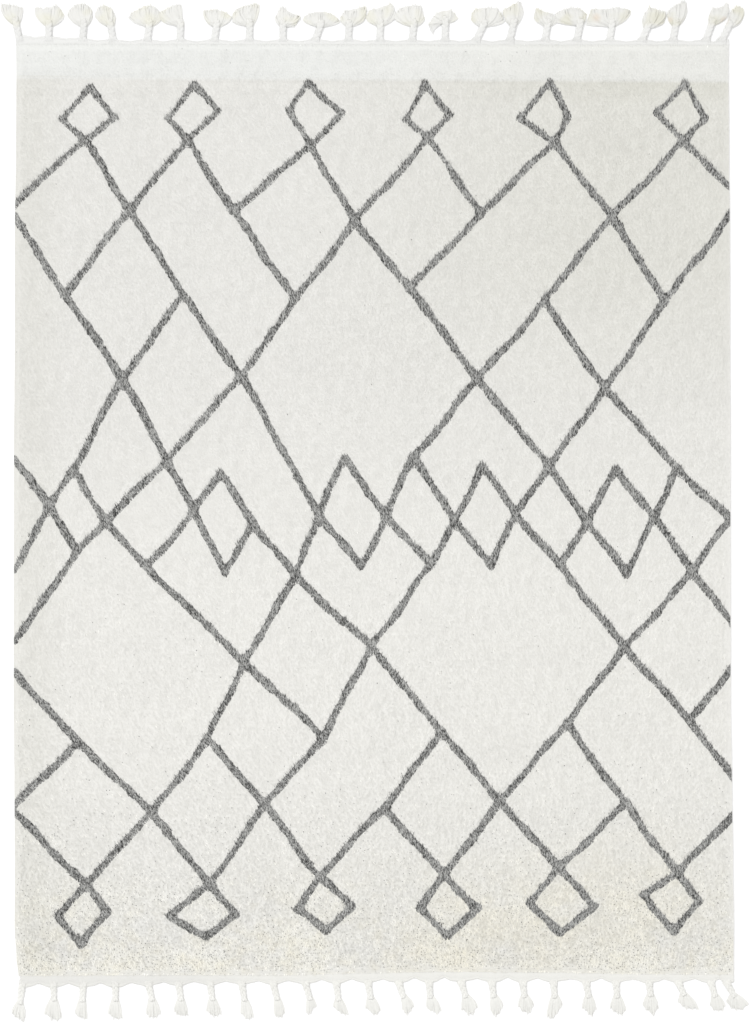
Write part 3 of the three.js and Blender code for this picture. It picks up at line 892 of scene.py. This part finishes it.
BODY_HIGH = 0.46  # half the height of a brush's body, as a share of the brush's own
BODY_STEPS = 9
BODY_SIDES = 16
ENDS = 36  # of yarn on each brush
END_STEPS = 8
END_SIDES = 4
CURL_FROM = 0.55  # of the way out, where a tip starts to curl
LOCK_LOW = 0.0012  # the least height of its middle
LOCK_LAYERS = 0.0010  # between the lowest locks and the highest
TOP_FRINGE = {
    **TOP, "scallop": 0.004, "gather": 0.0120, "edge": 1.055, "taper": 0.08, "swing": 0.0036,
    "strand": 0.0098, "weave": 0.0005, "over": 0.011, "bow": 1.1, "bow_out": 0.42, "bulge": 0.05,
    "height": 0.0090, "groove": 0.30, "yarn": 0.0052, "sunk": 0.8, "curl": 0.004, "crimp": 0.0010,
    "contrast": 0.3, "seed": 91,
}
BOTTOM_FRINGE = {
    **BOTTOM, "scallop": 0.008, "gather": 0.0085, "edge": -1.054, "taper": 0.32, "swing": 0.0050,
    "strand": 0.0086, "weave": 0.0010, "over": 0.003, "bow": 0.9, "bow_out": 0.50, "bulge": -0.08,
    "height": 0.0058, "groove": 0.35, "yarn": 0.0034, "sunk": 0.6, "curl": 0.001, "crimp": 0.0007,
    "contrast": 0.6, "seed": 92,
}
# Root is the place along the web, and the rest is counted from there, in millimetres: the sideways
# shift of the plait's end and how far out it lies, then the brush's five tips from the left one to
# the right one, first the sideways shift of each and then how far out each lies.
TOP_TASSELS = np.array([
    (-797, -8, 42, -37, -40, -25, -9, 6, 72, 85, 83, 81, 75),
    (-732, 1, 37, -31, -12, 4, 19, 35, 78, 74, 76, 83, 57),
    (-656, 3, 37, -32, -18, 2, 18, 21, 65, 82, 86, 78, 60),
    (-587, -6, 37, -39, -32, -17, -3, 4, 63, 76, 81, 74, 56),
    (-511, 5, 37, -40, -20, 1, 18, 34, 59, 73, 82, 77, 60),
    (-437, 1, 38, -40, -42, -27, -13, 3, 49, 67, 74, 80, 85),
    (-361, 6, 36, -18, -22, 1, 21, 38, 54, 70, 72, 68, 57),
    (-282, 1, 38, -36, -34, -18, 2, 21, 46, 66, 78, 82, 84),
    (-207, 1, 37, -16, -1, 14, 38, 23, 56, 81, 64, 59, 30),
    (-135, 13, 36, -26, -11, 12, 36, 55, 52, 64, 67, 64, 47),
    (-60, 2, 37, -17, -7, 13, 38, 35, 54, 70, 71, 81, 52),
    (11, 1, 38, -30, -20, 2, 26, 34, 56, 72, 75, 88, 60),
    (83, 4, 37, -38, -31, -14, 18, 27, 56, 70, 79, 83, 54),
    (157, 1, 45, -25, -36, -20, 13, 28, 17, 38, 65, 72, 54),
    (226, 17, 36, -9, -4, 20, 47, 63, 54, 72, 76, 76, 47),
    (302, 9, 40, -9, -13, 3, 22, 29, 52, 71, 80, 91, 74),
    (381, 6, 38, -23, -18, -5, 16, 27, 54, 77, 67, 63, 47),
    (452, 8, 39, -51, -44, -24, 1, 23, 47, 65, 74, 77, 63),
    (526, 5, 37, -51, -38, -11, 18, 47, 38, 75, 71, 77, 71),
    (598, 13, 32, 2, 17, 34, 52, 49, 54, 79, 70, 68, 45),
    (668, 6, 38, -12, 0, 13, 27, 30, 65, 78, 85, 91, 72),
    (741, 14, 40, 8, 16, 30, 48, 50, 58, 77, 73, 88, 67),
    (777, 16, 34, 17, 25, 38, 48, 45, 60, 74, 79, 72, 54),
])
BOTTOM_TASSELS = np.array([
    (-790, -6, 46, -25, -18, -9, 1, 7, 70, 79, 84, 92, 78),
    (-721, 1, 39, -21, -13, -5, 9, 18, 75, 76, 86, 89, 83),
    (-654, -2, 41, -19, -12, -4, 3, 8, 73, 79, 82, 84, 84),
    (-582, 0, 39, -16, -10, -4, 6, 15, 73, 76, 85, 86, 83),
    (-509, 9, 39, -4, 3, 11, 20, 28, 73, 81, 82, 81, 72),
    (-441, 6, 39, -10, -4, 4, 14, 22, 66, 73, 77, 77, 78),
    (-370, 5, 38, -8, 0, 8, 17, 25, 66, 72, 80, 78, 73),
    (-299, 6, 39, -2, 4, 9, 18, 27, 73, 76, 84, 86, 82),
    (-229, 9, 37, 3, 7, 13, 20, 27, 72, 79, 83, 80, 71),
    (-157, 11, 37, 3, 7, 13, 18, 26, 69, 75, 71, 60, 58),
    (-87, 5, 39, -7, 1, 10, 20, 27, 57, 64, 71, 75, 75),
    (-16, 6, 35, -5, 3, 12, 21, 29, 60, 65, 74, 75, 66),
    (53, 10, 32, 9, 14, 19, 28, 35, 62, 70, 77, 66, 56),
    (121, 3, 33, -6, 2, 10, 19, 29, 57, 66, 68, 75, 66),
    (193, 10, 31, 1, 9, 15, 27, 38, 64, 66, 75, 75, 57),
    (262, 4, 31, -3, 2, 8, 17, 26, 64, 74, 81, 73, 56),
    (331, 4, 31, -11, -2, 10, 18, 26, 55, 66, 74, 69, 55),
    (400, 3, 32, -15, -8, -1, 9, 21, 79, 83, 82, 71, 55),
    (473, 6, 31, -10, -2, 6, 13, 23, 61, 64, 73, 79, 63),
    (540, 3, 32, -13, -6, 5, 14, 23, 60, 66, 73, 77, 65),
    (614, 4, 29, -14, -6, 3, 10, 22, 54, 64, 69, 79, 60),
    (680, 12, 27, 0, 8, 18, 32, 47, 46, 55, 61, 62, 63),
    (753, 9, 30, -1, 7, 17, 27, 34, 54, 65, 67, 66, 54),
    (788, 17, 30, 0, 11, 22, 36, 51, 46, 60, 64, 64, 53),
])


def web(end, roots):
    """One row of rings across the rug, each the web's profile between the pile's line and the outer
    edge. That edge stands out at each root by half the scallop and falls back by half of it in a notch
    half way between two, as a cosine without its sign does. Every second ring is a little lower,
    between two warps."""
    left, right = left_side(end["edge"]), right_side(end["edge"])
    x = np.linspace(left, right, 2 * round((right - left) / WARP_PITCH) + 1)
    across = (x - left) / (right - left)
    close = eased(across, end["line"]) + end["out"] * WEB_GAP
    turns = np.interp(x, roots, np.arange(len(roots)))
    lobe = np.abs(np.cos(math.pi * turns)) - 0.5 + 0.12 * waves(x, x, 0.05, end["seed"])
    far = eased(across, end["line"], 2) + end["out"] * end["scallop"] * lobe
    height = WEB_HEIGHT * (1 - 0.07 * (np.arange(len(x)) % 2) + 0.05 * waves(x, x, 0.06, end["seed"]))
    profile = WEB_PROFILE[:: end["out"]]
    y = close[:, None] + (far - close)[:, None] * profile[:, 0]
    flat = np.stack([np.broadcast_to(x[:, None], y.shape), y], -1)
    return ringed(raised(flat, height[:, None] * profile[:, 1])[None])


def stem_place(end, tassel, away):
    """Where a plait's middle line lies at a distance out from the line of the tassels, and its
    sideways unit vector: a straight line from the root to the plait's end."""
    root, neck, out = (column[:, None] for column in tassel[:, :3].T)
    x = root + neck * np.clip(away / out, 0, 1.4)
    y = end["edge"] + end["out"] * away + 0 * x
    aside = np.stack([out, -end["out"] * neck], -1)
    return np.stack([x, y], -1), aside / np.linalg.norm(aside, axis=-1, keepdims=True)


def gathered_warps(end, tassel):
    """Short rods that rise side by side out of the web and run together into the plait: their spread
    falls from the gathered width to the plait's along a smooth step, and none leaves the web's sides."""
    share = np.linspace(0, 1, WARP_STEPS)
    place, aside = stem_place(end, tassel, (GATHER_START + GATHER_LENGTH * share)[None])
    half = end["gather"] + (GATHER_HALF - end["gather"]) * smooth_step(share)
    shift = np.linspace(-1, 1, WARPS)[:, None] * half
    flat = place[:, None] + shift[None, ..., None] * aside[:, None]
    left, right = left_side(end["edge"]) + WARP_MARGIN, right_side(end["edge"]) - WARP_MARGIN
    flat[..., 0] = np.clip(flat[..., 0], left, right)
    points = raised(flat, WARP_LOW + WARP_RISE * smooth_step(share * 1.4)).reshape(-1, WARP_STEPS, 3)
    wide = (WARP_WIDE - WARP_SLIMMER * share)[:, None]
    return rods(points, wide, 0.9 * wide, WARP_SIDES)


def plaits(end, tassel):
    """Three strands to a plait, a third of a turn apart. Each goes to the side by the sine of its turn
    and up by the sine of twice its turn, so that it passes over one neighbour and under the next. The
    plait rises out of the web along a smooth step and at its end with the third power of the way."""
    share = np.linspace(0, 1, PLAIT_STEPS)
    away = GATHER_START + (tassel[:, 2, None] + end["over"] - GATHER_START) * share
    place, aside = stem_place(end, tassel, away)
    slim = 1 - end["taper"] * share
    turn = 2 * math.pi * (away[:, None] / PLAIT_PERIOD + np.arange(3)[:, None] / 3)
    swing = end["swing"] * slim * np.sin(turn)
    flat = place[:, None] + swing[..., None] * aside[:, None]
    lift = PLAIT_LOW + PLAIT_RISE * smooth_step(share * 4) + 0.38 * end["over"] * share ** 3
    points = raised(flat, lift + end["weave"] * np.sin(2 * turn)).reshape(-1, PLAIT_STEPS, 3)
    wide, high = end["strand"] * slim, PLAIT_HIGH * (1 - 0.1 * share)
    return rods(points, wide[:, None], high[:, None], PLAIT_SIDES)


def tip_place(tassel, side):
    """The tip that belongs to a side, from -1 at the left to 1 at the right, as its sideways shift and
    distance out, and 0 at a stated tip to 1 half way to the next. Between two stated tips it moves half
    along a straight line and half along a smooth step, so that most of the yarn ends near them."""
    place = (side + 1) * (TIPS - 1) / 2
    before = np.clip(np.floor(place), 0, TIPS - 2).astype(int)
    share = (place - before + smooth_step(place - before)) / 2
    rows = np.arange(len(tassel))[:, None, None]
    shift, far = (
        tassel[rows, first + before] * (1 - share) + tassel[rows, first + before + 1] * share
        for first in (3, 3 + TIPS)
    )
    return shift, far, 4 * share * (1 - share)


def bent(share, start, bow, stop):
    """A quadratic curve from its start to its stop that is drawn towards the bow on the way."""
    return (1 - share) ** 2 * start + 2 * share * (1 - share) * bow + share ** 2 * stop


def brush_place(end, tassel, side, share):
    """Where a place in a brush lies, as x and the distance out, and how high the brush is there. The
    place moves along a bent way from the plait's end to the tip of its side, which between two stated
    tips reaches further by the bulge. Across, the height falls along an ellipse, with a groove between
    two tips; along, it rises out of the plait's end along a smooth step and sinks with the square of
    the way."""
    root, neck, out = (column[:, None, None] for column in tassel[:, :3].T)
    shift, far, between = tip_place(tassel, side)
    start = neck + side * NECK_HALF
    further = 1 + end["bulge"] * between
    shift, far = (shift - start) * further, (far - out) * further
    x = root + bent(share, start, start + shift * end["bow"], start + shift)
    away = bent(share, out - NECK_SUNK, out + far * end["bow_out"], out + far)
    rise = (0.45 + 0.55 * smooth_step(3 * share)) * (1 - 0.35 * share ** 2)
    rise = rise * (1 - end["groove"] * between * smooth_step(2 * share))
    return x, away, end["height"] * rise * np.sqrt(1 - 0.8 * side ** 2)


def brush_points(end, x, away, z):
    return np.stack([x, end["edge"] + end["out"] * away, z + 0 * x], -1)


def brush_bodies(end, tassel):
    """The inner yarn of every brush as one soft body: rings of places from the left side of the brush
    to the right and back below, by the cosine of the angle, and up and down by its sine. The last
    rings are lower, with the fourth power of the way."""
    share = np.linspace(0, 0.96, BODY_STEPS)[None, :, None]
    angle = angles(BODY_SIDES)
    side = end["out"] * 0.95 * np.cos(angle) + 0 * share
    x, away, crown = brush_place(end, tassel, side, share)
    z = BODY_HIGH * crown * (1 + np.sin(angle)) * (1 - 0.5 * share ** 4)
    return ringed(brush_points(end, x, away, z))


def brushes(end, tassel, rng):
    """The outer yarn of every brush as flat locks, half sunk in its body, whose upper side is an ellipse
    across it. Past the start of the curl a tip turns back and outwards with the square of the rest, and
    the whole lock is crimped by a small wave."""
    count = (len(tassel), ENDS, 1)
    side = np.linspace(-1, 1, ENDS)[None, :, None] + rng.uniform(-0.1, 0.1, count)
    side = side.clip(-1, 1)
    layer = rng.random(count)
    share = np.linspace(0, 1, END_STEPS) * rng.uniform(0.92, 1.05, count)
    x, away, crown = brush_place(end, tassel, side, share)
    hook = (share - CURL_FROM).clip(0, None) ** 2 / 0.2
    curl = end["curl"] * rng.uniform(0, 1, count) ** 2 * (0.35 + 0.65 * side ** 2)
    crimp = share * end["crimp"] * np.sin(share * rng.uniform(9, 14, count) + rng.uniform(0, 6.3, count))
    x = x + hook * curl * 0.4 * np.sign(side) + crimp
    away = away - hook * curl + 0.5 * crimp
    body = BODY_HIGH * crown * (1 + np.sqrt(1 - (0.98 * side) ** 2))
    z = (body + LOCK_LAYERS * (layer - end["sunk"])).clip(LOCK_LOW, None)
    points = brush_points(end, x, away, z).reshape(-1, END_STEPS, 3)
    slim = 1 - 0.5 * np.linspace(0, 1, END_STEPS) ** 2
    thick = (end["yarn"] * rng.uniform(0.7, 1.2, (len(points), 1)) * slim)[..., None]
    return rods(points, thick, 0.45 * thick, END_SIDES)


def fringe_piece(name, node, end, rows):
    """Web, gathered warps, plaits and brushes as one mesh, none of it below the floor, with a tone of
    its own for each path of rings."""
    rng = np.random.default_rng(end["seed"])
    tassel = rows * 0.001
    skins = [web(end, tassel[:, 0]), gathered_warps(end, tassel), plaits(end, tassel)]
    skins += [brush_bodies(end, tassel), brushes(end, tassel, rng)]
    starts = np.cumsum([0] + [skin.size // 3 for skin, _ in skins])
    points = np.concatenate([skin.reshape(-1, 3) for skin, _ in skins])
    points[:, 2] = points[:, 2].clip(0, None)
    quads = np.concatenate([faces + start for (_, faces), start in zip(skins, starts)])
    loose = np.arange(len(quads)) >= len(quads) - len(skins[-1][1])
    piece = new_piece(name, points, [quads], smooth=~loose)
    tones = [np.repeat(rng.standard_normal(len(skin)), skin.shape[1]) for skin, _ in skins]
    tones[-1] *= end["contrast"]
    keep_number(piece, "tone", np.concatenate(tones))
    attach(piece, "root")
    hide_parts(node)
    return piece


TAN_SPOT = (0.70, 0.55, 0.40)
TAN_SPOTS = [  # in the folds between heads: place and radius
    ((0.496, 1.108, 0.008), 0.014),
    ((0.661, 1.104, 0.007), 0.009),
    ((0.784, 1.102, 0.007), 0.012),
]


def fringe_material():
    """Cream yarn, warmer at the bottom end and with a yellowish tint in soft patches on the heads of
    the top end, each strand a little lighter or darker, with fine fibres and a few small tan spots in
    the folds between heads. The heads of the top end are painted darker towards the right, with darker
    patches, as painted shade. The webs are darker beside the pile, at the left of the bottom end, and at
    the right of the top end as painted shade."""
    finish = Finish("warp_yarn", 0.9, 0.1)
    span, times = finish.span, finish.times
    x, y = finish.axis("X"), finish.axis("Y")
    fibre = finish.fibre((900, 900, 900), 0.0005)
    patch = span(finish.noise((26, 26, 26), 1.0), 0.46, 0.66)
    plain = finish.mix(span(y, -0.9, 0.9), (0.756, 0.751, 0.717), (0.742, 0.742, 0.726))
    loose = finish.mix(span(x, 0.0, 0.6), (0.790, 0.786, 0.756), (0.770, 0.766, 0.736))
    brushed = finish.mix(patch, (0.760, 0.757, 0.730), (0.750, 0.742, 0.668))
    # Painted shade: the heads of the top end darker towards the right, with darker patches.
    shaded_heads = finish.mix(patch, (0.738, 0.735, 0.708), (0.690, 0.680, 0.600))
    low = times(span(y, -1.062, -1.056), span(y, -0.9, -1.0), span(x, -0.25, -0.45))
    # Painted shade: the top web and the starts of its plaits darker, most at the right.
    high = times(span(y, 1.068, 1.062), span(y, 0.9, 1.0), span(x, -0.1, 0.3, 0.1, 1.0))
    layers = [
        (low, (0.718, 0.713, 0.685)),
        (high, (0.714, 0.713, 0.696)),
        (span(y, -1.066, -1.090), loose),
        (span(y, 1.084, 1.096), finish.mix(span(x, 0.0, 0.5, 0.0, 0.9), brushed, shaded_heads)),
    ]
    # Small tan spots in the folds between heads.
    layers += [(times(finish.near(*tan_spot), 0.5), TAN_SPOT) for tan_spot in TAN_SPOTS]
    tone = times(span(finish.number("tone"), -2, 2, 0.965, 1.03), span(fibre, 0.3, 0.7, 0.97, 1.02))
    return finish.coloured(finish.toned(finish.layered(plain, layers), tone))


warp_yarn = fringe_material()
fringes = [
    fringe_piece("top_fringe", "fringe_top", TOP_FRINGE, TOP_TASSELS),
    fringe_piece("bottom_fringe", "fringe_bottom", BOTTOM_FRINGE, BOTTOM_TASSELS),
]
for piece in fringes:
    piece.data.materials.append(warp_yarn)


# The floor is plain and pale. The light is a wide soft sky with a weaker sun from the upper left, whose
# shadows are soft.
FLOOR_SIZE = 30
FLOOR_DROP = 0.0001
SKY_STRENGTH = 0.98
SUN_STRENGTH = 1.0
SUN_WIDTH = 25  # in degrees, as its tilts are
SUN_TILT = (-28, -24)

floor_corners = np.array([(-1, -1), (1, -1), (1, 1), (-1, 1)]) * FLOOR_SIZE / 2
floor = new_piece("floor", raised(floor_corners, -FLOOR_DROP), [np.array([(0, 1, 2, 3)])])


def floor_material():
    finish = Finish("pale_floor", 0.9, 0.0)
    return finish.coloured(finish.mix(finish.noise((3, 3, 3)), (0.93, 0.93, 0.93), (0.95, 0.95, 0.95)))


floor.data.materials.append(floor_material())

world = bpy.data.worlds.new("sky")
world.use_nodes = True
sky = world.node_tree.nodes["Background"]
sky.inputs["Color"].default_value = (1, 1, 1, 1)
sky.inputs["Strength"].default_value = SKY_STRENGTH
bpy.context.scene.world = world

sun_data = bpy.data.lights.new("sun", "SUN")
sun_data.energy = SUN_STRENGTH
sun_data.angle = math.radians(SUN_WIDTH)
sun = bpy.data.objects.new("sun", sun_data)
sun.rotation_euler = (*np.radians(SUN_TILT), 0)
bpy.context.scene.collection.objects.link(sun)

bpy.context.scene.view_settings.view_transform = "Standard"
